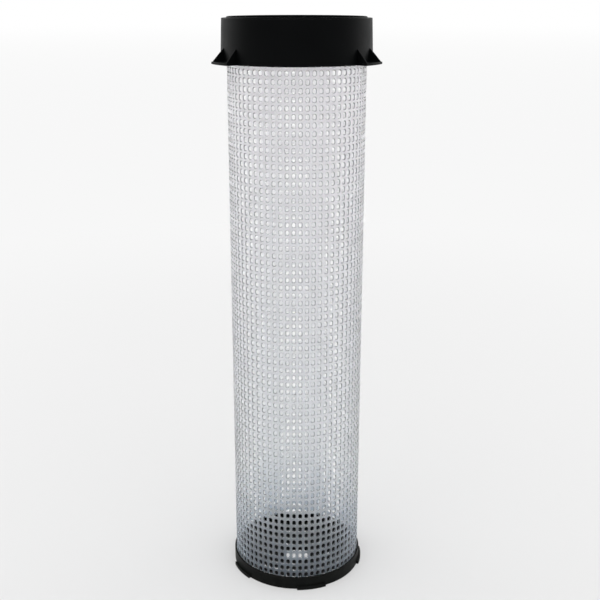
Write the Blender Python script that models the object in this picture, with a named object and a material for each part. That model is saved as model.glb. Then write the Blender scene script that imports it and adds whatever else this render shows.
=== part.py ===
"""Restrainer basket of a single-bag filter housing, for a size 2 filter bag.

A moulded collar hangs the basket in its housing by three wings and carries the ring of the bag. A tube of
square plastic mesh holds the bag against the flow, and a moulded cap closes the foot of the tube.

Metres, +Z up. The origin is on the basket's axis at the underside of the cap, and -Y is the front. Angles
round the axis are counted from the front towards +X.
"""

import math

import bmesh
import bpy

MM = 0.001
FULL_TURN = 2.0 * math.pi

# Whole basket
BASKET_HEIGHT = 762.0 * MM
SEAT_GAP = 0.3 * MM
TURNED_STEPS = 72
SHARP_ANGLE = math.radians(35.0)

# Mesh tube
TUBE_RADIUS = 88.0 * MM
TUBE_WALL = 2.4 * MM
RIDGE_DEPTH = 0.9 * MM
WINDOW_COLUMNS = 11
WINDOW_ROWS = 10
STRANDS_PER_WINDOW = 6
OPEN_STRANDS = 4
HOOP_HEIGHT = 18.0 * MM
BLANK_END = 8.0 * MM

# Collar
COLLAR_HEIGHT = 55.5 * MM
COLLAR_WALL = 3.0 * MM
SKIRT_CLEARANCE = 4.8 * MM
SKIRT_DRAFT = 1.8 * MM
LIP_HEIGHT = 2.5 * MM
LIP_ROUND = 0.7 * MM
SHOULDER_ROUND = 1.6 * MM
SLEEVE_DEPTH = 22.0 * MM
RIB_COUNT = 18
RIB_THICKNESS = 2.0 * MM
RIB_RECESS = 2.0 * MM

# Wings on the collar
WING_COUNT = 3
WING_FIRST_ANGLE = math.radians(60.0)
WING_HALF_ANGLE = math.radians(11.2)
WING_REACH = 14.8 * MM
WING_THICKNESS = 2.8 * MM
GUSSET_HEIGHT = 17.5 * MM
GUSSET_THICKNESS = 2.2 * MM
GUSSET_INSET = 1.0 * MM

# Bottom cap
CAP_HEIGHT = 18.0 * MM
CAP_FLOOR = 3.0 * MM
CAP_OUTER_WALL = 2.2 * MM
CAP_INNER_WALL = 1.8 * MM
CAP_ROUND = 0.6 * MM
LUG_COUNT = 5
LUG_FIRST_ANGLE = math.radians(13.0)
LUG_HALF_ANGLE = math.radians(12.7)
LUG_REACH = 3.1 * MM
LUG_HEIGHT = 4.5 * MM
DRAIN_WIDTH = 35.0 * MM
DRAIN_DEPTH = 29.0 * MM
DRAIN_OFFSET = -6.2 * MM
DRAIN_CORNER = 13.0 * MM
DRAIN_WEB = 3.0 * MM

# How finely arcs are divided
ROUND_STEPS = 2
WING_ARC_STEPS = 5
LUG_ARC_STEPS = 5
CORNER_STEPS = 4

# Colours, as red, green, blue and alpha
BLACK_PLASTIC = (0.012, 0.012, 0.013, 1.0)
NATURAL_PLASTIC = (0.72, 0.73, 0.76, 1.0)

# Sizes that follow from those above
BORE_RADIUS = TUBE_RADIUS - TUBE_WALL
COLLAR_FOOT = BASKET_HEIGHT - COLLAR_HEIGHT
SHOULDER_HEIGHT = BASKET_HEIGHT - LIP_HEIGHT
SLEEVE_FOOT = BASKET_HEIGHT - SLEEVE_DEPTH
SKIRT_FOOT_RADIUS = TUBE_RADIUS + SKIRT_CLEARANCE + COLLAR_WALL
SKIRT_TOP_RADIUS = SKIRT_FOOT_RADIUS - SKIRT_DRAFT
CAP_RADIUS = TUBE_RADIUS + SEAT_GAP + CAP_OUTER_WALL
TUBE_FOOT = CAP_FLOOR + SEAT_GAP
TUBE_TOP = SLEEVE_FOOT - SEAT_GAP


def clear_scene():
    """Empty the scene of the objects it starts with."""
    for obj in list(bpy.data.objects):
        bpy.data.objects.remove(obj, do_unlink=True)


def plastic(name, colour, roughness):
    """Make a plain plastic material."""
    material = bpy.data.materials.new(name)
    material.use_nodes = True
    shader = material.node_tree.nodes["Principled BSDF"]
    shader.inputs["Base Color"].default_value = colour
    shader.inputs["Roughness"].default_value = roughness
    shader.inputs["Metallic"].default_value = 0.0
    return material


def place(name, bm, material=None):
    """Turn a finished bmesh into an object of the scene, faces pointing out and round faces smooth."""
    bmesh.ops.recalc_face_normals(bm, faces=bm.faces)
    mesh = bpy.data.meshes.new(name)
    bm.to_mesh(mesh)
    bm.free()
    mesh.shade_smooth()
    mesh.set_sharp_from_angle(angle=SHARP_ANGLE)
    if material:
        mesh.materials.append(material)
    obj = bpy.data.objects.new(name, mesh)
    bpy.context.collection.objects.link(obj)
    return obj


def combine(piece, tool, operation):
    """Join a tool to a piece or cut it away, and leave the tool in the scene as a hidden guide."""
    tool.hide_render = True
    tool.display_type = "WIRE"
    boolean = piece.modifiers.new(tool.name, "BOOLEAN")
    boolean.operation = operation
    boolean.solver = "EXACT"
    boolean.object = tool


def polar(radius, angle, height):
    """The point at a radius, an angle from the front and a height."""
    return (radius * math.sin(angle), -radius * math.cos(angle), height)


def arc(radius, start, end, steps, height):
    """Points along an arc round the axis, ends included."""
    return [polar(radius, start + (end - start) * i / steps, height) for i in range(steps + 1)]


def rounded(before, corner, after, size, steps=ROUND_STEPS):
    """Round a corner of a (radius, height) outline with a curve that leaves each side at the given size."""
    def towards(target):
        length = math.dist(corner, target)
        return [c + (t - c) * size / length for c, t in zip(corner, target)]

    first, last = towards(before), towards(after)
    points = []
    for i in range(steps + 1):
        t = i / steps
        weights = ((1.0 - t) ** 2, 2.0 * t * (1.0 - t), t * t)
        points.append(tuple(weights[0] * a + weights[1] * b + weights[2] * c
                            for a, b, c in zip(first, corner, last)))
    return points


def revolve(outline, closed=True):
    """Turn an outline of (radius, height) points about the axis. An open one starts and ends on the axis."""
    bm = bmesh.new()
    points = [bm.verts.new((radius, 0.0, height)) for radius, height in outline]
    pairs = list(zip(points, points[1:]))
    if closed:
        pairs.append((points[-1], points[0]))
    edges = [bm.edges.new(pair) for pair in pairs]
    bmesh.ops.spin(bm, geom=points + edges, cent=(0.0, 0.0, 0.0), axis=(0.0, 0.0, 1.0),
                   angle=FULL_TURN, steps=TURNED_STEPS, use_merge=True)
    bmesh.ops.remove_doubles(bm, verts=bm.verts, dist=0.01 * MM)
    return bm


def add_prism(bm, outline, travel):
    """Fill a flat outline and push it along a vector to make one more solid in the bmesh."""
    face = bm.faces.new([bm.verts.new(point) for point in outline])
    swept = bmesh.ops.extrude_face_region(bm, geom=[face])
    ends = [item for item in swept["geom"] if isinstance(item, bmesh.types.BMVert)]
    bmesh.ops.translate(bm, verts=ends, vec=travel)


def add_fin(bm, outline, angle, thickness):
    """Add an upright plate that stands radially at an angle, from its (radius, height) outline."""
    across = polar(1.0, angle + FULL_TURN / 4.0, 0.0)
    half = thickness / 2.0
    corners = []
    for radius, height in outline:
        x, y, z = polar(radius, angle, height)
        corners.append((x - across[0] * half, y - across[1] * half, z))
    add_prism(bm, corners, (across[0] * thickness, across[1] * thickness, 0.0))


def add_sector(bm, inner, outer, middle, half_angle, steps, foot, thickness):
    """Add a level plate between two radii that spans an angle to both sides of its middle."""
    start, end = middle - half_angle, middle + half_angle
    outline = arc(outer, start, end, steps, foot) + arc(inner, end, start, steps, foot)
    add_prism(bm, outline, (0.0, 0.0, thickness))


def skirt_radius(height):
    """Outer radius of the drafted skirt at a height."""
    share = (height - COLLAR_FOOT) / (SHOULDER_HEIGHT - COLLAR_FOOT)
    return SKIRT_FOOT_RADIUS - SKIRT_DRAFT * share


def collar_outline():
    """The collar's section: drafted skirt, shoulder, raised lip and the sleeve that continues the tube."""
    web_foot = SHOULDER_HEIGHT - COLLAR_WALL
    skirt_foot = (SKIRT_FOOT_RADIUS, COLLAR_FOOT)
    shoulder_edge = (SKIRT_TOP_RADIUS, SHOULDER_HEIGHT)
    lip_root = (TUBE_RADIUS, SHOULDER_HEIGHT)
    lip_outer = (TUBE_RADIUS, BASKET_HEIGHT)
    lip_inner = (BORE_RADIUS, BASKET_HEIGHT)
    sleeve_inner = (BORE_RADIUS, SLEEVE_FOOT)
    return [
        skirt_foot,
        *rounded(skirt_foot, shoulder_edge, lip_root, SHOULDER_ROUND),
        lip_root,
        *rounded(lip_root, lip_outer, lip_inner, LIP_ROUND),
        *rounded(lip_outer, lip_inner, sleeve_inner, LIP_ROUND),
        sleeve_inner,
        (TUBE_RADIUS, SLEEVE_FOOT),
        (TUBE_RADIUS, web_foot),
        (skirt_radius(web_foot) - COLLAR_WALL, web_foot),
        (SKIRT_FOOT_RADIUS - COLLAR_WALL, COLLAR_FOOT),
    ]


def collar_ribs():
    """Ribs inside the skirt that centre the tube below the sleeve and brace the sleeve above it."""
    inside_skirt = SKIRT_FOOT_RADIUS - COLLAR_WALL / 2.0 - SKIRT_DRAFT
    inside_sleeve = TUBE_RADIUS - TUBE_WALL / 2.0
    socket = TUBE_RADIUS + SEAT_GAP
    inside_web = SHOULDER_HEIGHT - COLLAR_WALL / 2.0
    outline = [
        (inside_skirt, COLLAR_FOOT + RIB_RECESS),
        (socket, COLLAR_FOOT + RIB_RECESS),
        (socket, SLEEVE_FOOT + RIB_RECESS),
        (inside_sleeve, SLEEVE_FOOT + 2.0 * RIB_RECESS),
        (inside_sleeve, inside_web),
        (inside_skirt, inside_web),
    ]
    bm = bmesh.new()
    for i in range(RIB_COUNT):
        add_fin(bm, outline, FULL_TURN * (i + 0.5) / RIB_COUNT, RIB_THICKNESS)
    return place("collar_ribs", bm)


def wing_angles():
    """The middle of each wing, evenly spaced round the collar."""
    return [WING_FIRST_ANGLE + FULL_TURN * i / WING_COUNT for i in range(WING_COUNT)]


def wing_plates():
    """The level plates by which the basket hangs on the ledge of its housing."""
    root = SKIRT_FOOT_RADIUS - COLLAR_WALL / 2.0
    bm = bmesh.new()
    for middle in wing_angles():
        add_sector(bm, root, SKIRT_FOOT_RADIUS + WING_REACH, middle, WING_HALF_ANGLE,
                   WING_ARC_STEPS, COLLAR_FOOT, WING_THICKNESS)
    return place("wing_plates", bm)


def wing_gussets():
    """The two sloping gussets that stiffen each wing at its ends."""
    plate_top = COLLAR_FOOT + WING_THICKNESS
    inside_plate = COLLAR_FOOT + WING_THICKNESS / 2.0
    apex = COLLAR_FOOT + GUSSET_HEIGHT
    root = skirt_radius(apex) - COLLAR_WALL / 2.0
    tip = SKIRT_FOOT_RADIUS + WING_REACH - GUSSET_INSET
    outline = [(root, inside_plate), (tip, inside_plate), (tip, plate_top),
               (skirt_radius(apex), apex), (root, apex)]
    spread = WING_HALF_ANGLE - (GUSSET_INSET + GUSSET_THICKNESS / 2.0) / SKIRT_FOOT_RADIUS
    bm = bmesh.new()
    for middle in wing_angles():
        for side in (-1.0, 1.0):
            add_fin(bm, outline, middle + side * spread, GUSSET_THICKNESS)
    return place("wing_gussets", bm)


def build_collar(material):
    """Mould the collar as one piece: turned ring, ribs, wings and gussets."""
    collar = place("collar", revolve(collar_outline()), material)
    for tool in (collar_ribs(), wing_plates(), wing_gussets()):
        combine(collar, tool, "UNION")
    return collar


def tube_levels():
    """Heights where a hoop ends and a row of windows begins, and the other way about, foot to top."""
    low, high = CAP_HEIGHT + BLANK_END, COLLAR_FOOT - BLANK_END
    window = (high - low - (WINDOW_ROWS - 1) * HOOP_HEIGHT) / WINDOW_ROWS
    levels = [TUBE_FOOT]
    for row in range(WINDOW_ROWS):
        foot = low + row * (window + HOOP_HEIGHT)
        levels += [foot, foot + window]
    return levels + [TUBE_TOP]


def build_mesh_tube(material):
    """Build the mesh as one wall, with an upright ridge for each strand and a lattice of windows through it.

    The real mesh has a small square hole between each two strands in every row. Here each window stands for
    a block of them, and the ridges keep the strands' true pitch.
    """
    strands = WINDOW_COLUMNS * STRANDS_PER_WINDOW
    pitch = FULL_TURN / strands
    levels = tube_levels()
    bm = bmesh.new()

    def ring(radius, offset):
        """One vertex for each strand at every level, indexed by level and then by strand."""
        return [[bm.verts.new(polar(radius, (k + offset) * pitch, z)) for k in range(strands)] for z in levels]

    crest = ring(TUBE_RADIUS, 0.0)
    valley = ring(TUBE_RADIUS - RIDGE_DEPTH, -0.5)
    inside = ring(BORE_RADIUS, -0.5)

    def is_open(level, strand):
        """Whether the wall above a level is cut away at a strand."""
        return level % 2 == 1 and 0 < strand % STRANDS_PER_WINDOW <= OPEN_STRANDS

    def close_level(level, strand):
        """Fill the wall's thickness at a level, one strand wide."""
        after = (strand + 1) % strands
        bm.faces.new([valley[level][strand], crest[level][strand], valley[level][after],
                      inside[level][after], inside[level][strand]])

    for level in range(len(levels) - 1):
        above = level + 1
        for k in range(strands):
            after = (k + 1) % strands
            if is_open(level, k):
                close_level(level, k)
                close_level(above, k)
            else:
                for left, right in ((valley, k), (crest, k)), ((crest, k), (valley, after)):
                    (a, i), (b, j) = left, right
                    bm.faces.new([a[level][i], b[level][j], b[above][j], a[above][i]])
                bm.faces.new([inside[level][k], inside[level][after], inside[above][after], inside[above][k]])
            if is_open(level, k) != is_open(level, (k - 1) % strands):
                bm.faces.new([valley[level][k], inside[level][k], inside[above][k], valley[above][k]])
    for level in (0, len(levels) - 1):
        for k in range(strands):
            close_level(level, k)
    return place("mesh_tube", bm, material)


def cap_outline():
    """The cap's section from the top of its floor out to the groove for the tube, and back underneath."""
    groove_inner = BORE_RADIUS - SEAT_GAP
    groove_outer = TUBE_RADIUS + SEAT_GAP
    inner = groove_inner - CAP_INNER_WALL
    inner_top, groove_inner_top = (inner, CAP_HEIGHT), (groove_inner, CAP_HEIGHT)
    groove_outer_top, outer_top = (groove_outer, CAP_HEIGHT), (CAP_RADIUS, CAP_HEIGHT)
    groove_foot, outer_foot = (groove_inner, CAP_FLOOR), (CAP_RADIUS, 0.0)
    return [
        (0.0, CAP_FLOOR),
        (inner, CAP_FLOOR),
        *rounded((inner, CAP_FLOOR), inner_top, groove_inner_top, CAP_ROUND),
        *rounded(inner_top, groove_inner_top, groove_foot, CAP_ROUND),
        groove_foot,
        (groove_outer, CAP_FLOOR),
        *rounded((groove_outer, CAP_FLOOR), groove_outer_top, outer_top, CAP_ROUND),
        *rounded(groove_outer_top, outer_top, outer_foot, CAP_ROUND),
        outer_foot,
        (0.0, 0.0),
    ]


def cap_lugs():
    """Low lugs that stand out round the foot of the cap."""
    bm = bmesh.new()
    for i in range(LUG_COUNT):
        add_sector(bm, CAP_RADIUS - CAP_OUTER_WALL / 2.0, CAP_RADIUS + LUG_REACH,
                   LUG_FIRST_ANGLE + FULL_TURN * i / LUG_COUNT, LUG_HALF_ANGLE,
                   LUG_ARC_STEPS, 0.0, LUG_HEIGHT)
    return place("cap_lugs", bm)


def drain_half(side):
    """One half of the rounded drain opening, on the side of the web that the sign gives."""
    inner = DRAIN_WEB / 2.0
    half_width, half_depth = DRAIN_WIDTH / 2.0, DRAIN_DEPTH / 2.0
    corners = []
    for turn, (x, y) in enumerate(((half_width, half_depth), (half_width, -half_depth))):
        centre_x = x - DRAIN_CORNER
        centre_y = y - math.copysign(DRAIN_CORNER, y)
        start = FULL_TURN / 4.0 * (1 - turn)
        for i in range(CORNER_STEPS + 1):
            angle = start - FULL_TURN / 4.0 * i / CORNER_STEPS
            corners.append((centre_x + DRAIN_CORNER * math.cos(angle), centre_y + DRAIN_CORNER * math.sin(angle)))
    outline = [(inner, half_depth), *corners, (inner, -half_depth)]
    return [(side * x, y + DRAIN_OFFSET, -CAP_FLOOR) for x, y in outline]


def drain_cutter():
    """The two halves of the drain, cut through the floor with a web left between them."""
    bm = bmesh.new()
    for side in (-1.0, 1.0):
        add_prism(bm, drain_half(side), (0.0, 0.0, 3.0 * CAP_FLOOR))
    return place("drain_cutter", bm)


def build_bottom_cap(material):
    """Mould the cap as one piece: floor, grooved rim, lugs and drain."""
    cap = place("bottom_cap", revolve(cap_outline(), closed=False), material)
    combine(cap, cap_lugs(), "UNION")
    combine(cap, drain_cutter(), "DIFFERENCE")
    return cap


def main():
    """Build the three pieces of the basket in an empty scene."""
    clear_scene()
    black = plastic("black_plastic", BLACK_PLASTIC, 0.42)
    natural = plastic("natural_plastic", NATURAL_PLASTIC, 0.35)
    build_collar(black)
    build_mesh_tube(natural)
    build_bottom_cap(black)


main()
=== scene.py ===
"""Looks of a bag filter's restrainer basket: black moulded collar and cap on a natural plastic mesh tube.

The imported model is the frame. The three pieces of the basket are made here at full detail over their
solids: the mesh tube with every one of its small square holes, and the two black mouldings with their
rounded edges. Lengths are metres, +Z is up, -Y is the front, and angles round the axis are counted from
the front towards +X.
"""

from __future__ import annotations

import logging
import math
import sys
from dataclasses import dataclass
from enum import Enum

import bmesh
import bpy
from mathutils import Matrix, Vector


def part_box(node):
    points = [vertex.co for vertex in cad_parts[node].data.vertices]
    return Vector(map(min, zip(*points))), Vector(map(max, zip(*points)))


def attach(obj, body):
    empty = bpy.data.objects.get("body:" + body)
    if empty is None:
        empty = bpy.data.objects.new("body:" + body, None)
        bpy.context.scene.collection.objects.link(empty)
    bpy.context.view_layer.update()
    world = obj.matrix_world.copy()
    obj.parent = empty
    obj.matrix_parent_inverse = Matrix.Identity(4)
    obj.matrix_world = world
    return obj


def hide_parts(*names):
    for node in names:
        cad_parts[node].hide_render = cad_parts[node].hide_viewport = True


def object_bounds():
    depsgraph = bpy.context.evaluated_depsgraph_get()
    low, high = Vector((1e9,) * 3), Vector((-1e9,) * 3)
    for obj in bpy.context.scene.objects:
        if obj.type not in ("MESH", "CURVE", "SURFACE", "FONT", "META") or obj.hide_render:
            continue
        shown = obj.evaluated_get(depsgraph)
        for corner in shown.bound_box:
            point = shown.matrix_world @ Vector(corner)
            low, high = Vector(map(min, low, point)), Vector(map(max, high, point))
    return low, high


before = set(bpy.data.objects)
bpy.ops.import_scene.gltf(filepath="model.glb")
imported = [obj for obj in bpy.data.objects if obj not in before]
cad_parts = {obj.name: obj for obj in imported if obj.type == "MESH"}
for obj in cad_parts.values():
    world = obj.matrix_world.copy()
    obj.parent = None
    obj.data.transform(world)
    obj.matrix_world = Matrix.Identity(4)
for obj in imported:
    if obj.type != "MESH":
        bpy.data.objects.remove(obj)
CAD_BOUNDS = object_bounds()

MM = 0.001
FULL_TURN = 2.0 * math.pi
QUARTER_TURN = FULL_TURN / 4.0

# How near two points are merged: on a turned shape, between two cells, and on a finished moulding.
TURNED_MERGE = 0.005 * MM
CELL_MERGE = 0.02 * MM
MOULDING_MERGE = 0.002 * MM

# Chords of a rounded corner, facets of a softened edge, and Blender's number for a round profile.
ROUND_STEPS = 4
BEVEL_STEPS = 2
BEVEL_ROUND = 0.5

WHITE = (1.0, 1.0, 1.0, 1.0)
BODY = "root"

Point2 = tuple[float, float]
Point3 = tuple[float, float, float]
Colour = tuple[float, float, float, float]
Inputs = dict[str | int, object]

log = logging.getLogger("basket")


class Slot(Enum):
    """The record's material slots."""

    BLACK = "black_plastic"
    NATURAL = "natural_plastic"


class Join(Enum):
    """What a shape does to the moulding that it meets."""

    ADD = "UNION"
    CUT = "DIFFERENCE"


# Geometry helpers


def polar(radius: float, angle: float, height: float) -> Point3:
    """Find the point at a radius, an angle from the front and a height.

    Args:
        radius: Distance from the axis.
        angle: Angle from -Y towards +X.
        height: Height above the foot.

    Returns:
        The point's x, y and z.
    """
    return (radius * math.sin(angle), -radius * math.cos(angle), height)


def rounded(before: Point2, corner: Point2, after: Point2, size: float) -> list[Point2]:
    """Round one corner of a (radius, height) outline.

    Args:
        before: The outline's point before the corner.
        corner: The corner itself.
        after: The outline's point after the corner.
        size: How far from the corner the curve leaves each side.

    Returns:
        The points of the curve.
    """
    first, last = ([c + (t - c) * size / math.dist(corner, target) for c, t in zip(corner, target)]
                   for target in (before, after))
    points = []
    for i in range(ROUND_STEPS + 1):
        t = i / ROUND_STEPS
        points.append(tuple((1.0 - t) ** 2 * a + 2.0 * t * (1.0 - t) * b + t * t * c
                            for a, b, c in zip(first, corner, last)))
    return points


def rounded_outline(corners: list[tuple[Point2, float]]) -> list[Point2]:
    """Draw a closed (radius, height) outline with its corners rounded.

    Args:
        corners: Each corner and the size of its curve, or 0 for a sharp one.

    Returns:
        The outline's points.
    """
    points = []
    for i, (corner, size) in enumerate(corners):
        before, after = corners[i - 1][0], corners[(i + 1) % len(corners)][0]
        points += rounded(before, corner, after, size) if size else [corner]
    return points


def link_mesh(name: str, bm: bmesh.types.BMesh) -> bpy.types.Object:
    """Turn a finished bmesh into an object at the origin.

    Args:
        name: The object's name.
        bm: The shape, which is freed.

    Returns:
        The new object.
    """
    mesh = bpy.data.meshes.new(name)
    bm.to_mesh(mesh)
    bm.free()
    obj = bpy.data.objects.new(name, mesh)
    bpy.context.scene.collection.objects.link(obj)
    return obj


def mesh_object(name: str, bm: bmesh.types.BMesh) -> bpy.types.Object:
    """Turn a finished bmesh into an object at the origin, with its faces pointing out."""
    bmesh.ops.recalc_face_normals(bm, faces=bm.faces)
    return link_mesh(name, bm)


def revolve(outline: list[Point2], steps: int) -> bmesh.types.BMesh:
    """Turn a closed (radius, height) outline about the axis.

    Args:
        outline: The section's points; points on the axis are merged into poles.
        steps: How many facets go round.

    Returns:
        The turned shape.
    """
    bm = bmesh.new()
    points = [bm.verts.new((radius, 0.0, height)) for radius, height in outline]
    on_axis = [radius == 0.0 for radius, _ in outline]
    edges = []
    for i, point in enumerate(points):
        j = (i + 1) % len(points)
        if not (on_axis[i] and on_axis[j]):
            edges.append(bm.edges.new((point, points[j])))
    bmesh.ops.spin(bm, geom=points + edges, cent=(0.0, 0.0, 0.0), axis=(0.0, 0.0, 1.0),
                   angle=FULL_TURN, steps=steps, use_merge=True)
    bmesh.ops.remove_doubles(bm, verts=bm.verts, dist=TURNED_MERGE)
    return bm


def prism(outline: list[Point3], travel: Point3, edge_round: float) -> bmesh.types.BMesh:
    """Fill a flat outline, push it along a vector and soften its edges.

    Args:
        outline: The flat outline's points.
        travel: How far and which way it is pushed.
        edge_round: Width of the softened edges, or 0 for sharp ones.

    Returns:
        The solid.
    """
    bm = bmesh.new()
    face = bm.faces.new([bm.verts.new(point) for point in outline])
    swept = bmesh.ops.extrude_face_region(bm, geom=[face])
    ends = [item for item in swept["geom"] if isinstance(item, bmesh.types.BMVert)]
    bmesh.ops.translate(bm, verts=ends, vec=travel)
    bmesh.ops.recalc_face_normals(bm, faces=bm.faces)
    if edge_round:
        bmesh.ops.bevel(bm, geom=list(bm.edges), offset=edge_round, offset_type="OFFSET",
                        segments=BEVEL_STEPS, profile=BEVEL_ROUND, affect="EDGES", clamp_overlap=True)
    return bm


def apply_modifiers(obj: bpy.types.Object) -> None:
    """Bake an object's modifiers into its mesh and remove them.

    Args:
        obj: The object, which keeps its name and place.
    """
    evaluated = obj.evaluated_get(bpy.context.evaluated_depsgraph_get())
    mesh = bpy.data.meshes.new_from_object(evaluated)
    old = obj.data
    obj.modifiers.clear()
    obj.data = mesh
    mesh.name = obj.name
    bpy.data.meshes.remove(old)


def combine(piece: bpy.types.Object, tool: bpy.types.Object, how: Join) -> None:
    """Join a tool to a moulding or cut it away, and delete the tool.

    Args:
        piece: The moulding.
        tool: The shape that is added or cut.
        how: Whether it is added or cut.
    """
    boolean = piece.modifiers.new(tool.name, "BOOLEAN")
    boolean.operation = how.value
    boolean.solver = "EXACT"
    boolean.object = tool
    apply_modifiers(piece)
    mesh = tool.data
    bpy.data.objects.remove(tool, do_unlink=True)
    bpy.data.meshes.remove(mesh)


# Nodes of every kind of tree


def add_node(tree: bpy.types.NodeTree, kind: str, inputs: Inputs | None = None,
             **settings: object) -> bpy.types.Node:
    """Add a node to a tree and fill its inputs.

    Args:
        tree: The tree, of geometry, a material or the surroundings.
        kind: The node's type name.
        inputs: Sockets to link or values to set, by input name or index.
        **settings: Properties of the node itself.

    Returns:
        The new node.
    """
    node = tree.nodes.new(kind)
    for key, value in settings.items():
        setattr(node, key, value)
    for key, value in (inputs or {}).items():
        if isinstance(value, bpy.types.NodeSocket):
            tree.links.new(value, node.inputs[key])
        else:
            node.inputs[key].default_value = value
    return node


# Geometry Nodes


class Tree:
    """A Geometry Nodes tree under construction, with its named inputs."""

    def __init__(self, name: str) -> None:
        """Start an empty tree.

        Args:
            name: The tree's name.
        """
        self.group = bpy.data.node_groups.new(name, "GeometryNodeTree")
        self.group.interface.new_socket("Geometry", in_out="INPUT", socket_type="NodeSocketGeometry")
        self.group.interface.new_socket("Geometry", in_out="OUTPUT", socket_type="NodeSocketGeometry")
        self.source = self.group.nodes.new("NodeGroupInput")
        self.sink = self.group.nodes.new("NodeGroupOutput")

    def add_input(self, name: str, kind: str) -> bpy.types.NodeSocket:
        """Add a named input.

        Args:
            name: The input's name.
            kind: Its socket type, such as Float or Object.

        Returns:
            The socket that carries its value inside the tree.
        """
        self.group.interface.new_socket(name, in_out="INPUT", socket_type="NodeSocket" + kind)
        return self.source.outputs[name]

    def add(self, kind: str, inputs: Inputs | None = None, **settings: object) -> bpy.types.Node:
        """Add a node to this tree, as add_node does."""
        return add_node(self.group, kind, inputs, **settings)

    def math(self, operation: str, first: object, second: object = 0.0) -> bpy.types.NodeSocket:
        """Add a Math node.

        Args:
            operation: The operation's name.
            first: First socket or value.
            second: Second socket or value.

        Returns:
            The result's socket.
        """
        return self.add("ShaderNodeMath", {0: first, 1: second}, operation=operation).outputs[0]

    def finish(self, geometry: bpy.types.NodeSocket, material: bpy.types.NodeSocket) -> None:
        """End the tree with real geometry in one material.

        Args:
            geometry: What the tree has made.
            material: The material input's socket.
        """
        real = self.add("GeometryNodeRealizeInstances", {"Geometry": geometry})
        dressed = self.add("GeometryNodeSetMaterial", {"Geometry": real.outputs[0], "Material": material})
        self.group.links.new(dressed.outputs[0], self.sink.inputs[0])

    def run(self, obj: bpy.types.Object, values: dict[str, object]) -> None:
        """Run the tree on an object and keep the result as its plain mesh.

        Args:
            obj: The object that holds the tree's modifier for a moment.
            values: A value for each of the tree's named inputs.
        """
        modifier = obj.modifiers.new(self.group.name, "NODES")
        modifier.node_group = self.group
        for item in self.group.interface.items_tree:
            if item.in_out == "INPUT" and item.name in values:
                modifier[item.identifier] = values[item.name]
        apply_modifiers(obj)


def copies_round_axis_tree() -> Tree:
    """Build the tree that repeats a shape at equal angles round the axis.

    Returns:
        The tree, with the inputs Shape, Count, First Angle and Material.
    """
    tree = Tree("copies_round_axis")
    shape = tree.add_input("Shape", "Object")
    count = tree.add_input("Count", "Int")
    first = tree.add_input("First Angle", "Float")
    material = tree.add_input("Material", "Material")
    points = tree.add("GeometryNodeMeshLine", {"Count": count, "Offset": (0.0, 0.0, 0.0)})
    index = tree.add("GeometryNodeInputIndex").outputs[0]
    step = tree.math("DIVIDE", FULL_TURN, count)
    angle = tree.math("ADD", tree.math("MULTIPLY", index, step), first)
    turn = tree.add("ShaderNodeCombineXYZ", {"Z": angle})
    info = tree.add("GeometryNodeObjectInfo", {"Object": shape})
    rotation = tree.add("FunctionNodeEulerToRotation", {0: turn.outputs[0]})
    copies = tree.add("GeometryNodeInstanceOnPoints", {
        "Points": points.outputs[0], "Instance": info.outputs["Geometry"], "Rotation": rotation.outputs[0]})
    tree.finish(copies.outputs[0], material)
    return tree


def copies_round_axis(name: str, shape: bmesh.types.BMesh, count: int, first: float,
                      material: bpy.types.Material) -> bpy.types.Object:
    """Repeat a shape at equal angles round the axis.

    Args:
        name: Name of the object that holds the copies.
        shape: The shape as it stands at the front.
        count: How many copies there are.
        first: Angle of the first copy.
        material: The material of the copies.

    Returns:
        One object with all the copies as plain mesh.
    """
    original = mesh_object(name + "_original", shape)
    holder = mesh_object(name, bmesh.new())
    copies_round_axis_tree().run(holder, {"Shape": original, "Count": count, "First Angle": first,
                                          "Material": material})
    bpy.data.objects.remove(original, do_unlink=True)
    return holder


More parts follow.
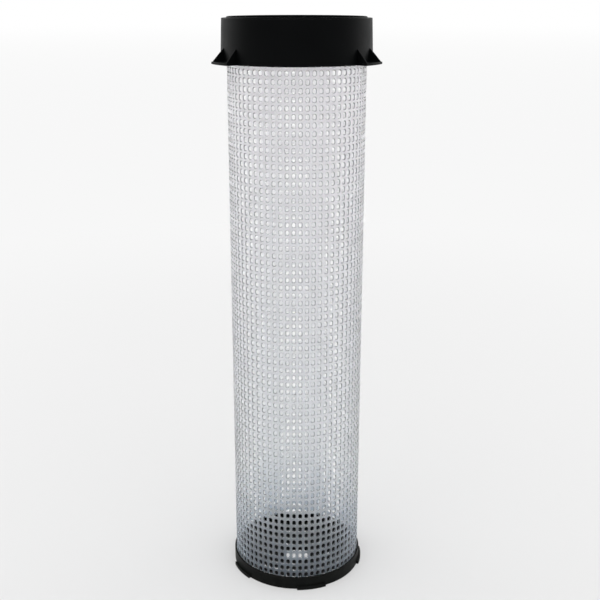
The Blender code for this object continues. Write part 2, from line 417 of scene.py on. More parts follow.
def mesh_wall_tree() -> Tree:
    """Build the tree that lays one mesh cell out in rows and wraps them into a tube.

    A cell lies flat with x across, y up the tube and z outwards. The end cells close the wall above and
    below the rows.

    Returns:
        The tree, with the inputs Cell, End Cell, Strands, Rows, Strand Pitch, Row Pitch, Radius, First Row,
        Phase and Material.
    """
    tree = Tree("mesh_wall")
    cell = tree.add_input("Cell", "Object")
    end_cell = tree.add_input("End Cell", "Object")
    strands = tree.add_input("Strands", "Int")
    rows = tree.add_input("Rows", "Int")
    strand_pitch = tree.add_input("Strand Pitch", "Float")
    row_pitch = tree.add_input("Row Pitch", "Float")
    radius = tree.add_input("Radius", "Float")
    first_row = tree.add_input("First Row", "Float")
    phase = tree.add_input("Phase", "Float")
    material = tree.add_input("Material", "Material")

    width = tree.math("MULTIPLY", strand_pitch, tree.math("SUBTRACT", strands, 1.0))
    height = tree.math("MULTIPLY", row_pitch, tree.math("SUBTRACT", rows, 1.0))
    parts = tree.add("GeometryNodeJoinGeometry")

    def lay(shape: object, lines: object, tall: object, lift: object, turn: float) -> None:
        """Lay copies of a cell on a grid of points, as wide as the wall.

        Args:
            shape: The cell.
            lines: How many rows the grid has.
            tall: Height from the grid's first row to its last.
            lift: Height of the grid's middle.
            turn: How far each copy is turned in its plane.
        """
        grid = tree.add("GeometryNodeMeshGrid", {"Size X": width, "Size Y": tall,
                                                 "Vertices X": strands, "Vertices Y": lines})
        offset = tree.add("ShaderNodeCombineXYZ", {"Y": lift})
        moved = tree.add("GeometryNodeSetPosition", {
            "Geometry": grid.outputs[0], "Offset": offset.outputs[0]})
        info = tree.add("GeometryNodeObjectInfo", {"Object": shape})
        copies = tree.add("GeometryNodeInstanceOnPoints", {
            "Points": moved.outputs[0], "Instance": info.outputs["Geometry"], "Rotation": (0.0, 0.0, turn)})
        tree.group.links.new(copies.outputs[0], parts.inputs[0])

    middle = tree.math("MULTIPLY", height, 0.5)
    edge = tree.math("MULTIPLY", row_pitch, 0.5)
    lay(cell, rows, height, middle, 0.0)
    lay(end_cell, 1, 0.0, tree.math("ADD", height, edge), 0.0)
    lay(end_cell, 1, 0.0, tree.math("MULTIPLY", edge, -1.0), math.pi)

    flat = tree.add("GeometryNodeRealizeInstances", {"Geometry": parts.outputs[0]})
    place = tree.add("ShaderNodeSeparateXYZ", {0: tree.add("GeometryNodeInputPosition").outputs[0]})
    angle = tree.math("ADD", tree.math("DIVIDE", place.outputs["X"], radius), phase)
    reach = tree.math("ADD", radius, place.outputs["Z"])
    wrapped = tree.add("ShaderNodeCombineXYZ", {
        "X": tree.math("MULTIPLY", reach, tree.math("SINE", angle)),
        "Y": tree.math("MULTIPLY", tree.math("MULTIPLY", reach, tree.math("COSINE", angle)), -1.0),
        "Z": tree.math("ADD", place.outputs["Y"], first_row)})
    tube = tree.add("GeometryNodeSetPosition", {
        "Geometry": flat.outputs[0], "Position": wrapped.outputs[0]})
    merged = tree.add("GeometryNodeMergeByDistance", {"Geometry": tube.outputs[0], "Distance": CELL_MERGE})
    smooth = tree.add("GeometryNodeSetShadeSmooth", {"Geometry": merged.outputs[0], "Shade Smooth": True})
    tree.finish(smooth.outputs[0], material)
    return tree


# Finishes


class Shader:
    """A material's node tree under construction."""

    # The Mix node gives its sockets for numbers, vectors and colours the same names, so they go by index.
    mix_share, mix_first, mix_second, mix_result = 0, 6, 7, 2

    def __init__(self, name: str) -> None:
        """Start a material that holds one Principled shader.

        Args:
            name: The material's name.
        """
        self.material = bpy.data.materials.new(name)
        self.material.use_nodes = True
        self.links = self.material.node_tree.links
        self.surface = self.material.node_tree.nodes["Principled BSDF"]
        self.place = self.node("ShaderNodeTexCoord").outputs["Object"]

    def node(self, kind: str, inputs: Inputs | None = None, **settings: object) -> bpy.types.Node:
        """Add a node to this material, as add_node does."""
        return add_node(self.material.node_tree, kind, inputs, **settings)

    def dress(self, socket: str, value: bpy.types.NodeSocket) -> None:
        """Give one of the surface's sockets a value that varies over the piece."""
        self.links.new(value, self.surface.inputs[socket])

    def noise(self, scale: float, detail: float) -> bpy.types.NodeSocket:
        """Add a noise texture over the object's own coordinates.

        Args:
            scale: Grains to the metre.
            detail: How many finer layers it has.

        Returns:
            The noise's value.
        """
        return self.node("ShaderNodeTexNoise", {
            "Vector": self.place, "Scale": scale, "Detail": detail}).outputs["Fac"]

    def mix(self, share: bpy.types.NodeSocket, first: object, second: object) -> bpy.types.NodeSocket:
        """Mix two colours.

        Args:
            share: How much there is of the second colour.
            first: First colour or its socket.
            second: Second colour or its socket.

        Returns:
            The mixed colour.
        """
        mixed = self.node("ShaderNodeMix", {
            self.mix_share: share, self.mix_first: first, self.mix_second: second}, data_type="RGBA")
        return mixed.outputs[self.mix_result]

    def bump(self, noise: Point2, strength: float, depth: float) -> None:
        """Raise the surface a little by a noise.

        Args:
            noise: The noise's grains to the metre and how many finer layers it has.
            strength: How much of the relief shows, from 0 to 1.
            depth: Height of the relief.
        """
        relief = self.node("ShaderNodeBump", {
            "Height": self.noise(*noise), "Strength": strength, "Distance": depth})
        self.dress("Normal", relief.outputs[0])

    def between(self, value: bpy.types.NodeSocket, low: float, high: float) -> bpy.types.NodeSocket:
        """Stretch a value from 0 and 1 to two other limits.

        Args:
            value: The value's socket.
            low: What 0 becomes.
            high: What 1 becomes.

        Returns:
            The stretched value.
        """
        return self.node("ShaderNodeMapRange", {"Value": value, "To Min": low, "To Max": high}).outputs[0]

    def set(self, **values: object) -> None:
        """Set the surface's own sockets, named with underscores for spaces."""
        for key, value in values.items():
            self.surface.inputs[key.replace("_", " ")].default_value = value


@dataclass(frozen=True)
class BlackPlastic:
    """Satin black moulding with the fine dull grain of a textured mould, and past one radius a lighter
    colour that is part dust and part painted sheen.

    Each noise is given by its grains to the metre and how many finer layers it has. The radius that is set
    first lies outside the basket, so a moulding has the dust and painted sheen only where it is given a
    smaller one.
    """

    name: str = "black_moulded_plastic"
    colour: Colour = (0.0008, 0.001, 0.0011, 1.0)
    worn: Colour = (0.0031, 0.0037, 0.0041, 1.0)
    # Lighter colour past the radius: part dust, part painted sheen.
    dust_and_sheen: Colour = (0.0128, 0.0138, 0.0125, 1.0)
    dust_and_sheen_starts: float = 1.0
    dust_and_sheen_width: float = 1.5 * MM
    roughness: Point2 = (0.36, 0.5)
    shine: float = 0.042
    wear_noise: Point2 = (22.0, 4.0)
    dust_and_sheen_noise: Point2 = (90.0, 5.0)
    dull_noise: Point2 = (60.0, 3.0)
    grain_noise: Point2 = (900.0, 2.0)
    grain_strength: float = 0.5
    grain_depth: float = 0.03 * MM

    def build(self) -> bpy.types.Material:
        """Make the material.

        Returns:
            The finished material.
        """
        shader = Shader(self.name)
        clean = shader.mix(shader.noise(*self.wear_noise), self.colour, self.worn)
        place = shader.node("ShaderNodeSeparateXYZ", {"Vector": shader.place})
        level = shader.node("ShaderNodeCombineXYZ", {"X": place.outputs["X"], "Y": place.outputs["Y"]})
        radius = shader.node("ShaderNodeVectorMath", {"Vector": level.outputs[0]}, operation="LENGTH")
        outside = shader.node("ShaderNodeMapRange", {
            "Value": radius.outputs["Value"], "From Min": self.dust_and_sheen_starts,
            "From Max": self.dust_and_sheen_starts + self.dust_and_sheen_width})
        # Painted sheen with some dust: faces past the radius are lighter in noisy patches.
        dust_and_sheen_mask = shader.node("ShaderNodeMath", {0: outside.outputs[0], 1: shader.noise(*self.dust_and_sheen_noise)},
                           operation="MULTIPLY")
        shader.dress("Base Color", shader.mix(dust_and_sheen_mask.outputs[0], clean, self.dust_and_sheen))
        shader.dress("Roughness", shader.between(shader.noise(*self.dull_noise), *self.roughness))
        shader.bump(self.grain_noise, self.grain_strength, self.grain_depth)
        shader.set(Metallic=0.0, Specular_IOR_Level=self.shine)
        return shader.material


@dataclass(frozen=True)
class NaturalPlastic:
    """Milky natural plastic that lets light through, a little lilac above, and darker and bluer at the foot
    as painted shade.

    Each tint goes with the height at which the plastic has it, and they blend from one to the next. The
    lowest tint is painted shade.
    """

    height: float
    tints_and_foot_shade: tuple[tuple[float, Colour], ...] = (
        # The lowest tint is painted shade: darker and bluer at the foot, where the black cap behind gives
        # little light.
        (0.02, (0.50, 0.57, 0.66, 1.0)),
        (0.13, (0.945, 0.97, 1.0, 1.0)),
        (0.65, (0.982, 0.97, 1.0, 1.0)),
    )
    roughness: float = 0.33
    ior: float = 1.49
    flow_noise: Point2 = (420.0, 2.0)
    flow_strength: float = 0.1
    flow_depth: float = 0.12 * MM
    glow_depth: float = 2.5 * MM
    glow_spread: Point3 = (1.0, 1.0, 1.05)
    clarity: float = 0.87

    def build(self) -> bpy.types.Material:
        """Make the material.

        Returns:
            The finished material.
        """
        shader = Shader("natural_mesh_plastic")
        place = shader.node("ShaderNodeSeparateXYZ", {"Vector": shader.place})
        rise = shader.node("ShaderNodeMapRange", {"Value": place.outputs["Z"], "From Max": self.height})
        # The ramp carries the tints, with the painted shade at the foot.
        tint_and_foot_shade = shader.node("ShaderNodeValToRGB", {"Fac": rise.outputs[0]})
        stops = tint_and_foot_shade.color_ramp.elements
        while len(stops) < len(self.tints_and_foot_shade):
            stops.new(1.0)
        for stop, (height, colour) in zip(stops, self.tints_and_foot_shade):
            stop.position, stop.color = height / self.height, colour
        shader.dress("Base Color", tint_and_foot_shade.outputs["Color"])
        shader.bump(self.flow_noise, self.flow_strength, self.flow_depth)
        shader.set(Metallic=0.0, Roughness=self.roughness, IOR=self.ior, Subsurface_Weight=1.0,
                   Subsurface_Radius=self.glow_spread, Subsurface_Scale=self.glow_depth,
                   Transmission_Weight=self.clarity)
        return shader.material


# The basket


@dataclass
class MeshTube:
    """The square-mesh tube: one wall of upright strands and rows, with every hole cut right through it.

    A hole narrows from its mouth, just below the crest of the strands, to its throat near the inside.
    """

    foot: float
    radius: float
    collar_foot: float
    wall: float = 1.5 * MM
    strands: int = 66
    row_pitch: float = 10.12 * MM
    top_row_below_collar: float = 7.9 * MM
    rows_in_collar: int = 3
    hole_width: float = 5.8 * MM
    hole_height: float = 7.7 * MM
    hole_corner: float = 1.5 * MM
    mouth_depth: float = 0.2 * MM
    throat_width: float = 4.5 * MM
    throat_height: float = 6.1 * MM
    throat_corner: float = 1.4 * MM
    throat_depth: float = 1.3 * MM
    phase: float = math.radians(0.25)

    @classmethod
    def from_frame(cls) -> MeshTube:
        """Take the tube's place and radius from its solid, and the foot of the collar that its rows meet.

        Returns:
            The tube's sizes.
        """
        low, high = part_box("mesh_tube")
        collar_low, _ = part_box("collar")
        return cls(foot=low.z, radius=high.y, collar_foot=collar_low.z)

    @property
    def strand_pitch(self) -> float:
        """Distance between two upright strands along the outer surface."""
        return FULL_TURN * self.radius / self.strands

    @property
    def top_row(self) -> float:
        """Height of the middle of the highest row of holes."""
        return self.collar_foot - self.top_row_below_collar + self.rows_in_collar * self.row_pitch

    @property
    def rows(self) -> int:
        """How many rows of holes fit down to the foot."""
        return int((self.top_row - self.foot) / self.row_pitch + 0.5)

    @property
    def first_row(self) -> float:
        """Height of the middle of the lowest row of holes."""
        return self.top_row - (self.rows - 1) * self.row_pitch

    def opening(self, width: float, height: float, corner: float, depth: float) -> list[Point3]:
        """Outline a hole at its mouth or its throat.

        Args:
            width: Its width.
            height: Its height.
            corner: How much its corners are cut.
            depth: How far it lies below the crest of the strands.

        Returns:
            Its eight points, anticlockwise from the right side's lower end.
        """
        w, h, c = width / 2.0, height / 2.0, corner
        return [(w, -h + c, -depth), (w, h - c, -depth), (w - c, h, -depth), (-w + c, h, -depth),
                (-w, h - c, -depth), (-w, -h + c, -depth), (-w + c, -h, -depth), (w - c, -h, -depth)]

    def cell(self) -> bmesh.types.BMesh:
        """Make the wall round one hole, from the middle of each strand to the next.

        The wall is shaded round outside. Its edge at the throat stays sharp, so that the plastic bends the
        view behind it alike in every cell.

        Returns:
            The flat cell.
        """
        bm = bmesh.new()
        half_x, half_y = self.strand_pitch / 2.0, self.row_pitch / 2.0
        corners = [(half_x, -half_y), (half_x, half_y), (-half_x, half_y), (-half_x, -half_y)]
        mouth, throat = ([bm.verts.new(point) for point in self.opening(*size)] for size in (
            (self.hole_width, self.hole_height, self.hole_corner, self.mouth_depth),
            (self.throat_width, self.throat_height, self.throat_corner, self.throat_depth)))
        outer, inner = ([bm.verts.new((x, y, z)) for x, y in corners] for z in (0.0, -self.wall))
        for i in range(len(mouth)):
            j = (i + 1) % len(mouth)
            bm.faces.new([mouth[i], throat[i], throat[j], mouth[j]])
        for rim, square, flip in ((mouth, outer, False), (throat, inner, True)):
            for k in range(len(square)):
                following = (k + 1) % len(square)
                side = [square[k], square[following], rim[2 * k + 1], rim[2 * k]]
                corner = [square[following], rim[(2 * k + 2) % len(rim)], rim[2 * k + 1]]
                for points in (side, corner):
                    bm.faces.new(points[::-1] if flip else points)
        for i in range(len(throat)):
            bm.edges.get((throat[i], throat[(i + 1) % len(throat)])).smooth = False
        return bm

    def end_cell(self, height: float) -> bmesh.types.BMesh:
        """Make the plain strip that closes the wall past its last row, one strand wide.

        Args:
            height: How tall the strip is.

        Returns:
            The flat strip, which starts at y = 0.
        """
        bm = bmesh.new()
        half_x = self.strand_pitch / 2.0
        outer = [bm.verts.new((x, y, 0.0)) for x, y in
                 ((-half_x, 0.0), (half_x, 0.0), (half_x, height), (-half_x, height))]
        inner = [bm.verts.new((v.co.x, v.co.y, -self.wall)) for v in outer]
        bm.faces.new(outer)
        bm.faces.new(inner[::-1])
        bm.faces.new([outer[3], outer[2], inner[2], inner[3]])
        return bm

    def build(self, material: bpy.types.Material) -> bpy.types.Object:
        """Make the tube.

        Args:
            material: Its finish.

        Returns:
            The tube as one plain mesh.
        """
        end_height = self.first_row - self.row_pitch / 2.0 - self.foot
        cell = link_mesh("cell", self.cell())
        end_cell = link_mesh("end_cell", self.end_cell(end_height))
        tube = link_mesh("mesh_tube_fine", bmesh.new())
        mesh_wall_tree().run(tube, {
            "Cell": cell, "End Cell": end_cell, "Strands": self.strands, "Rows": self.rows,
            "Strand Pitch": self.strand_pitch, "Row Pitch": self.row_pitch, "Radius": self.radius,
            "First Row": self.first_row, "Phase": self.phase, "Material": material})
        for shape in (cell, end_cell):
            bpy.data.objects.remove(shape, do_unlink=True)
        return tube


@dataclass
class Moulding:
    """What the two black mouldings share: their level plates, and how they are finished and shaded."""

    turned_steps: int = 192
    arc_steps: int = 12
    sharp_angle: float = math.radians(32.0)
    edge_round: float = 0.35 * MM

    def arc_plate(self, outer: float, inner: float, half_angle: float, foot: float,
                  thickness: float) -> bmesh.types.BMesh:
        """Make a level plate between two arcs, at the front.

        Args:
            outer: Radius of its outer edge.
            inner: Radius of its inner edge, which is hidden in the moulding.
            half_angle: How far it reaches to either side.
            foot: Height of its underside.
            thickness: Its thickness.

        Returns:
            The plate.
        """
        angles = [half_angle * (2.0 * i / self.arc_steps - 1.0) for i in range(self.arc_steps + 1)]
        outline = [polar(outer, angle, foot) for angle in angles]
        outline += [polar(inner, angle, foot) for angle in reversed(angles)]
        return prism(outline, (0.0, 0.0, thickness), 0.0)

    def finish(self, piece: bpy.types.Object, material: bpy.types.Material) -> bpy.types.Object:
        """Clean a moulding's mesh, shade it and dress it.

        Args:
            piece: The moulding.
            material: Its finish.

        Returns:
            The same moulding.
        """
        bm = bmesh.new()
        bm.from_mesh(piece.data)
        bmesh.ops.remove_doubles(bm, verts=bm.verts, dist=MOULDING_MERGE)
        bmesh.ops.dissolve_degenerate(bm, edges=bm.edges, dist=MOULDING_MERGE)
        bm.to_mesh(piece.data)
        bm.free()
        piece.data.materials.clear()
        piece.data.materials.append(material)
        piece.data.shade_smooth()
        piece.data.set_sharp_from_angle(angle=self.sharp_angle)
        weighted = piece.modifiers.new("weighted_normals", "WEIGHTED_NORMAL")
        weighted.keep_sharp = True
        apply_modifiers(piece)
        return piece


@dataclass(kw_only=True)
class Collar(Moulding):
    """The collar: drafted skirt, beaded shoulder, raised lip, sleeve, inner ribs and three wings."""

    foot: float
    top: float
    tube_radius: float
    sleeve_foot: float
    skirt_foot_radius: float
    wing_radius: float
    wall: float = 3.0 * MM
    skirt_draft: float = 1.8 * MM
    lip_height: float = 2.5 * MM
    lip_round: float = 1.7 * MM
    bead_height: float = 0.6 * MM
    bead_width: float = 1.3 * MM
    bead_round: float = 0.25 * MM
    foot_round: float = 0.5 * MM
    wing_count: int = 3
    wing_angle: float = math.radians(60.0)
    wing_half_angle: float = math.radians(11.2)
    wing_thickness: float = 2.8 * MM
    gusset_height: float = 19.0 * MM
    gusset_thickness: float = 2.2 * MM
    gusset_inset: float = 1.0 * MM
    rib_count: int = 18
    rib_thickness: float = 2.0 * MM
    rib_recess: float = 2.0 * MM
    seat_gap: float = 0.3 * MM

    @classmethod
    def from_frame(cls) -> Collar:
        """Take the collar's place and size from the solids.

        Returns:
            The collar's sizes.
        """
        low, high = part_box("collar")
        _, tube_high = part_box("mesh_tube")
        return cls(foot=low.z, top=high.z, tube_radius=tube_high.y, sleeve_foot=tube_high.z + cls.seat_gap,
                   skirt_foot_radius=-low.y, wing_radius=high.y)

    @property
    def bore_radius(self) -> float:
        """Inner radius of the sleeve and the lip, the same as the tube's."""
        return self.tube_radius - MeshTube.wall

    @property
    def shoulder(self) -> float:
        """Height of the shoulder round the lip."""
        return self.top - self.lip_height

    def skirt_radius(self, height: float) -> float:
        """Find the skirt's outer radius at a height.

        Args:
            height: The height.

        Returns:
            The radius.
        """
        share = (height - self.foot) / (self.shoulder - self.foot)
        return self.skirt_foot_radius - self.skirt_draft * share

    def outline(self) -> list[Point2]:
        """Draw the collar's section.

        Returns:
            Its (radius, height) points.
        """
        web_foot = self.shoulder - self.wall
        bead_top = self.shoulder + self.bead_height
        rim = self.skirt_radius(self.shoulder)
        return rounded_outline([
            ((self.skirt_foot_radius, self.foot), self.foot_round),
            ((rim, bead_top), self.bead_round),
            ((rim - self.bead_width / 2.0, bead_top), self.bead_round),
            ((rim - self.bead_width, self.shoulder), self.bead_round),
            ((self.tube_radius, self.shoulder), self.foot_round),
            ((self.tube_radius, self.top), self.lip_round),
            ((self.bore_radius, self.top), self.foot_round),
            ((self.bore_radius, self.sleeve_foot), self.foot_round),
            ((self.tube_radius, self.sleeve_foot), self.foot_round),
            ((self.tube_radius, web_foot), self.foot_round),
            ((self.skirt_radius(web_foot) - self.wall, web_foot), self.foot_round),
            ((self.skirt_foot_radius - self.wall, self.foot), self.foot_round),
        ])

    def wing_plate(self) -> bmesh.types.BMesh:
        """Make the level plate of the wing at the front."""
        root = self.skirt_foot_radius - self.wall / 2.0
        return self.arc_plate(self.wing_radius, root, self.wing_half_angle, self.foot, self.wing_thickness)

    def gusset(self) -> bmesh.types.BMesh:
        """Make one of a wing's sloping gussets at the front.

        Returns:
            The gusset.
        """
        apex = self.foot + self.gusset_height
        inside_plate = self.foot + self.wing_thickness / 2.0
        root = self.skirt_radius(apex) - self.wall / 2.0
        tip = self.wing_radius - self.gusset_inset
        half = self.gusset_thickness / 2.0
        outline = [(half, -root, inside_plate), (half, -tip, inside_plate),
                   (half, -tip, self.foot + self.wing_thickness),
                   (half, -self.skirt_radius(apex), apex), (half, -root, apex)]
        return prism(outline, (-self.gusset_thickness, 0.0, 0.0), self.edge_round)

    def rib(self) -> bmesh.types.BMesh:
        """Make one of the ribs inside the skirt, at the front.

        Returns:
            The rib.
        """
        inside_skirt = self.skirt_foot_radius - self.wall / 2.0 - self.skirt_draft
        inside_sleeve = (self.tube_radius + self.bore_radius) / 2.0
        socket = self.tube_radius + self.seat_gap
        inside_web = self.shoulder - self.wall / 2.0
        start = self.foot + self.rib_recess
        half = self.rib_thickness / 2.0
        outline = [(half, -inside_skirt, start), (half, -socket, start),
                   (half, -socket, self.sleeve_foot + self.rib_recess),
                   (half, -inside_sleeve, self.sleeve_foot + 2.0 * self.rib_recess),
                   (half, -inside_sleeve, inside_web), (half, -inside_skirt, inside_web)]
        return prism(outline, (-self.rib_thickness, 0.0, 0.0), 0.0)

    def build(self, material: bpy.types.Material) -> bpy.types.Object:
        """Mould the collar.

        Args:
            material: Its finish.

        Returns:
            The collar as one plain mesh.
        """
        collar = mesh_object("collar_moulding", revolve(self.outline(), self.turned_steps))
        from_end = self.gusset_inset + self.gusset_thickness / 2.0
        spread = self.wing_half_angle - from_end / self.skirt_foot_radius
        patterns = [
            ("collar_ribs", self.rib(), self.rib_count, FULL_TURN / self.rib_count / 2.0),
            ("wing_plates", self.wing_plate(), self.wing_count, self.wing_angle),
            ("gussets_right", self.gusset(), self.wing_count, self.wing_angle + spread),
            ("gussets_left", self.gusset(), self.wing_count, self.wing_angle - spread),
        ]
        for name, shape, count, first in patterns:
            combine(collar, copies_round_axis(name, shape, count, first, material), Join.ADD)
        return self.finish(collar, material)


@dataclass(kw_only=True)
class BottomCap(Moulding):
    """The cap: floor with its drain, grooved rim for the tube, and five low lugs."""

    height: float
    tube_radius: float
    floor: float = 3.0 * MM
    seat_gap: float = 0.3 * MM
    outer_wall: float = 2.2 * MM
    inner_wall: float = 1.8 * MM
    rim_round: float = 0.6 * MM
    foot_round: float = 0.5 * MM
    lug_count: int = 5
    lug_angle: float = math.radians(13.0)
    lug_half_angle: float = math.radians(12.7)
    lug_reach: float = 3.1 * MM
    lug_height: float = 4.5 * MM
    drain_width: float = 35.0 * MM
    drain_depth: float = 29.0 * MM
    drain_offset: float = -6.2 * MM
    drain_corner: float = 13.0 * MM
    drain_corner_steps: int = 10
    drain_web: float = 3.0 * MM

    @classmethod
    def from_frame(cls) -> BottomCap:
        """Take the cap's height and the tube's radius from the solids.

        Returns:
            The cap's sizes.
        """
        _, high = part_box("bottom_cap")
        _, tube_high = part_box("mesh_tube")
        return cls(height=high.z, tube_radius=tube_high.y)

    @property
    def radius(self) -> float:
        """Outer radius of the rim."""
        return self.tube_radius + self.seat_gap + self.outer_wall

    def outline(self) -> list[Point2]:
        """Draw the cap's section.

        Returns:
            Its (radius, height) points.
        """
        groove_inner = self.tube_radius - MeshTube.wall - self.seat_gap
        groove_outer = self.tube_radius + self.seat_gap
        inner = groove_inner - self.inner_wall
        return rounded_outline([
            ((0.0, self.floor), 0.0),
            ((inner, self.floor), self.foot_round),
            ((inner, self.height), self.rim_round),
            ((groove_inner, self.height), self.rim_round),
            ((groove_inner, self.floor), 0.0),
            ((groove_outer, self.floor), 0.0),
            ((groove_outer, self.height), self.rim_round),
            ((self.radius, self.height), self.rim_round),
            ((self.radius, 0.0), self.foot_round),
            ((0.0, 0.0), 0.0),
        ])

    def lug(self) -> bmesh.types.BMesh:
        """Make one of the lugs round the foot, at the front."""
        root = self.radius - self.outer_wall / 2.0
        return self.arc_plate(self.radius + self.lug_reach, root, self.lug_half_angle, 0.0, self.lug_height)

    def drain(self, side: float) -> bmesh.types.BMesh:
        """Make the cutter for the half of the drain on one side of its web.

        Args:
            side: 1 for the right half, -1 for the left one.

        Returns:
            The cutter.
        """
        w, h, r = self.drain_width / 2.0, self.drain_depth / 2.0, self.drain_corner
        steps = self.drain_corner_steps
        turns = [QUARTER_TURN * i / steps for i in range(steps + 1)]
        upper = [(w - r + r * math.sin(turn), h - r + r * math.cos(turn)) for turn in turns]
        right = upper + [(x, -y) for x, y in reversed(upper)]
        web = self.drain_web / 2.0
        outline = [(web, h), *right, (web, -h)]
        # The cutter reaches past the floor by its thickness, both above and below.
        corners = [(side * x, y + self.drain_offset, -self.floor) for x, y in outline]
        return prism(corners, (0.0, 0.0, 3.0 * self.floor), 0.0)

    def build(self, material: bpy.types.Material) -> bpy.types.Object:
        """Mould the cap.

        Args:
            material: Its finish.

        Returns:
            The cap as one plain mesh.
        """
        cap = mesh_object("bottom_cap_moulding", revolve(self.outline(), self.turned_steps))
        lugs = copies_round_axis("lugs", self.lug(), self.lug_count, self.lug_angle, material)
        combine(cap, lugs, Join.ADD)
        for name, side in (("drain_right", 1.0), ("drain_left", -1.0)):
            combine(cap, mesh_object(name, self.drain(side)), Join.CUT)
        return self.finish(cap, material)


# Studio


@dataclass(frozen=True)
class Lamp:
    """One soft box of the studio."""

    name: str
    place: Point3
    size: Point2
    power: float
    target: Point3 = (0.0, 0.0, 0.4)

    def build(self) -> None:
        """Hang the lamp and aim it."""
        data = bpy.data.lights.new(self.name, "AREA")
        data.shape = "RECTANGLE"
        data.size, data.size_y = self.size
        data.energy = self.power
        lamp = bpy.data.objects.new(self.name, data)
        lamp.location = self.place
        lamp.rotation_euler = (Vector(self.target) - Vector(self.place)).to_track_quat("-Z", "Y").to_euler()
        bpy.context.scene.collection.objects.link(lamp)


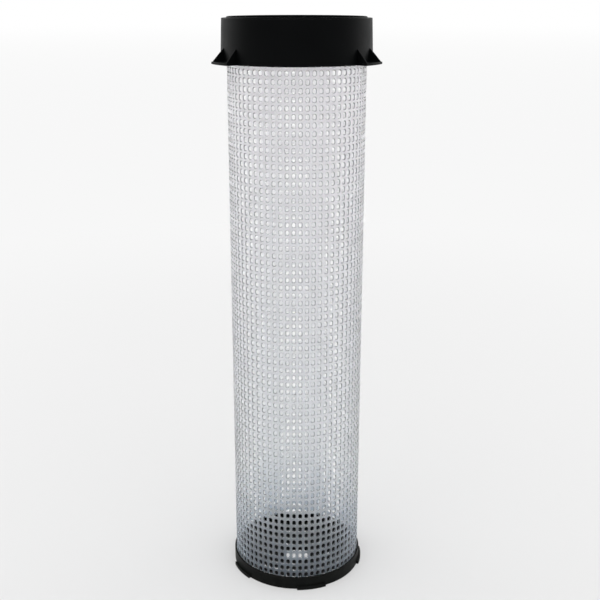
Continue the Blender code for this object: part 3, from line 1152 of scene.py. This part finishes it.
@dataclass
class Studio:
    """Pale floor and white surroundings, soft boxes, and the camera at the photograph's angle.

    The floor has its plain colour and the basket's shadow near the foot. With distance it fades into a glow
    that only shows and doesn't light, so that the soft boxes leave no patches on it. The glow is weaker
    near the basket than far off, which is painted shade round the foot. The surroundings light the basket
    evenly, a little less from behind than from the front.
    """

    picture_width: float = 600.0
    axis_column: float = 296.78
    focal_pixels: float = 964.2
    sensor: float = 36.0
    camera_distance: float = 1.2479
    camera_height: float = 0.7855
    camera_pitch: float = math.radians(17.4845)
    nearest_seen: float = 0.05
    floor_radius: float = 600.0
    floor_sides: int = 64
    floor_drop: float = 0.2 * MM
    floor_colour: float = 0.5
    # Weaker glow near the basket: painted shade round the foot.
    near_glow: float = 0.27
    far_glow: float = 0.93
    backdrop: float = 1.0
    near_floor: float = 0.15
    far_floor: float = 2.2
    horizon: float = 30.0
    front_light: float = 1.0
    front_edge: float = -0.7
    back_light: float = 0.9
    back_edge: float = 0.5

    def build_camera(self) -> None:
        """Stand the camera in front of the basket and look a little down at it."""
        data = bpy.data.cameras.new("camera")
        data.sensor_width = self.sensor
        data.lens = self.sensor * self.focal_pixels / self.picture_width
        data.shift_x = 0.5 - self.axis_column / self.picture_width
        data.clip_start, data.clip_end = self.nearest_seen, 2.0 * self.floor_radius
        camera = bpy.data.objects.new("camera", data)
        camera.location = (0.0, -self.camera_distance, self.camera_height)
        camera.rotation_euler = (QUARTER_TURN - self.camera_pitch, 0.0, 0.0)
        bpy.context.scene.collection.objects.link(camera)
        bpy.context.scene.camera = camera

    @staticmethod
    def seen_directly(tree: bpy.types.NodeTree) -> bpy.types.NodeSocket:
        """Tell the rays that show the background from those that only light the basket.

        Args:
            tree: The node tree that asks.

        Returns:
            A socket that is 1 for camera, glossy and transmission rays.
        """
        path = add_node(tree, "ShaderNodeLightPath")
        seen = path.outputs["Is Camera Ray"]
        for name in ("Is Glossy Ray", "Is Transmission Ray"):
            either = add_node(tree, "ShaderNodeMath", {0: seen, 1: path.outputs[name]}, operation="MAXIMUM")
            seen = either.outputs[0]
        return seen

    @staticmethod
    def fade(tree: bpy.types.NodeTree, value: bpy.types.NodeSocket, start: Point2,
             end: Point2) -> bpy.types.NodeSocket:
        """Fade softly from one level to another.

        Args:
            tree: The node tree that the fade is in.
            value: What the level depends on.
            start: A value and the level up to it.
            end: A further value and the level from there on.

        Returns:
            The level's socket.
        """
        ramp = add_node(tree, "ShaderNodeMapRange", {
            "Value": value, "From Min": start[0], "From Max": end[0], "To Min": start[1], "To Max": end[1]},
            interpolation_type="SMOOTHSTEP")
        return ramp.outputs[0]

    def build_world(self) -> None:
        """Surround the basket with a pale backdrop and its even light."""
        world = bpy.data.worlds.new("studio")
        world.use_nodes = True
        tree = world.node_tree
        tree.nodes.clear()
        towards = add_node(tree, "ShaderNodeTexCoord").outputs["Generated"]
        direction = add_node(tree, "ShaderNodeSeparateXYZ", {0: towards})
        light = self.fade(tree, direction.outputs["Y"], (self.front_edge, self.front_light),
                          (self.back_edge, self.back_light))
        level = add_node(tree, "ShaderNodeMix", {
            "Factor": self.seen_directly(tree), "A": light, "B": self.backdrop})
        background = add_node(tree, "ShaderNodeBackground", {
            "Color": WHITE, "Strength": level.outputs["Result"]})
        add_node(tree, "ShaderNodeOutputWorld", {0: background.outputs[0]})
        bpy.context.scene.world = world

    def build_floor(self) -> None:
        """Lay a pale floor that keeps the basket's soft shadow and fades into the backdrop."""
        bm = bmesh.new()
        bmesh.ops.create_circle(bm, cap_ends=True, radius=self.floor_radius, segments=self.floor_sides)
        floor = mesh_object("floor", bm)
        floor.location.z = -self.floor_drop
        material = bpy.data.materials.new("floor_white")
        material.use_nodes = True
        tree = material.node_tree
        tree.nodes.clear()
        place = add_node(tree, "ShaderNodeTexCoord").outputs["Object"]
        distance = add_node(tree, "ShaderNodeVectorMath", {0: place}, operation="LENGTH").outputs["Value"]
        lit = self.fade(tree, distance, (self.near_floor, self.floor_colour), (self.far_floor, 0.0))
        # The glow rises with distance, so the floor round the foot is darker: painted shade.
        glowing = self.fade(tree, distance, (self.near_floor, self.near_glow),
                            (self.far_floor, self.far_glow))
        rising = self.fade(tree, distance, (self.far_floor, 0.0),
                           (self.horizon, self.backdrop - self.far_glow))
        shown = add_node(tree, "ShaderNodeMath", {0: glowing, 1: rising}, operation="ADD")
        level = add_node(tree, "ShaderNodeMath", {0: self.seen_directly(tree), 1: shown.outputs[0]},
                         operation="MULTIPLY")
        plain = add_node(tree, "ShaderNodeBsdfDiffuse", {"Color": lit})
        glow = add_node(tree, "ShaderNodeEmission", {"Strength": level.outputs[0]})
        both = add_node(tree, "ShaderNodeAddShader", {0: plain.outputs[0], 1: glow.outputs[0]})
        add_node(tree, "ShaderNodeOutputMaterial", {"Surface": both.outputs[0]})
        floor.data.materials.append(material)

    def build(self) -> None:
        """Set up the camera, surroundings, floor and lamps."""
        bpy.context.scene.view_settings.view_transform = "Standard"
        self.build_camera()
        self.build_world()
        self.build_floor()
        Lamp("soft_box_left", place=(-1.9, 0.9, 0.9), size=(1.2, 2.0), power=7.0).build()
        Lamp("soft_box_right", place=(1.9, 0.9, 0.9), size=(1.2, 2.0), power=7.0).build()
        Lamp("soft_box_top", place=(0.0, -0.3, 2.6), size=(2.0, 2.0), power=14.0).build()


def add_piece(piece: bpy.types.Object, node: str) -> None:
    """Hand a finished piece to the frame in place of its solid.

    Args:
        piece: The piece.
        node: The solid that it stands for.
    """
    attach(piece, BODY)
    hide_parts(node)
    triangles = sum(len(face.vertices) - 2 for face in piece.data.polygons)
    log.info("%s stands for %s: %d triangles", piece.name, node, triangles)


def main() -> None:
    """Build the studio and the three pieces, in order."""
    logging.basicConfig(level=logging.INFO, format="%(name)s: %(message)s", stream=sys.stdout)
    Studio().build()
    black = BlackPlastic().build()
    # The cap's outer faces, past the tube, get the lighter colour: part dust, part painted sheen.
    cap_black = BlackPlastic(name="black_cap_plastic", dust_and_sheen_starts=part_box("mesh_tube")[1].y).build()
    natural = NaturalPlastic(height=CAD_BOUNDS[1].z).build()
    add_piece(MeshTube.from_frame().build(natural), "mesh_tube")
    add_piece(Collar.from_frame().build(black), "collar")
    add_piece(BottomCap.from_frame().build(cap_black), "bottom_cap")


if __name__ == "__main__":
    main()
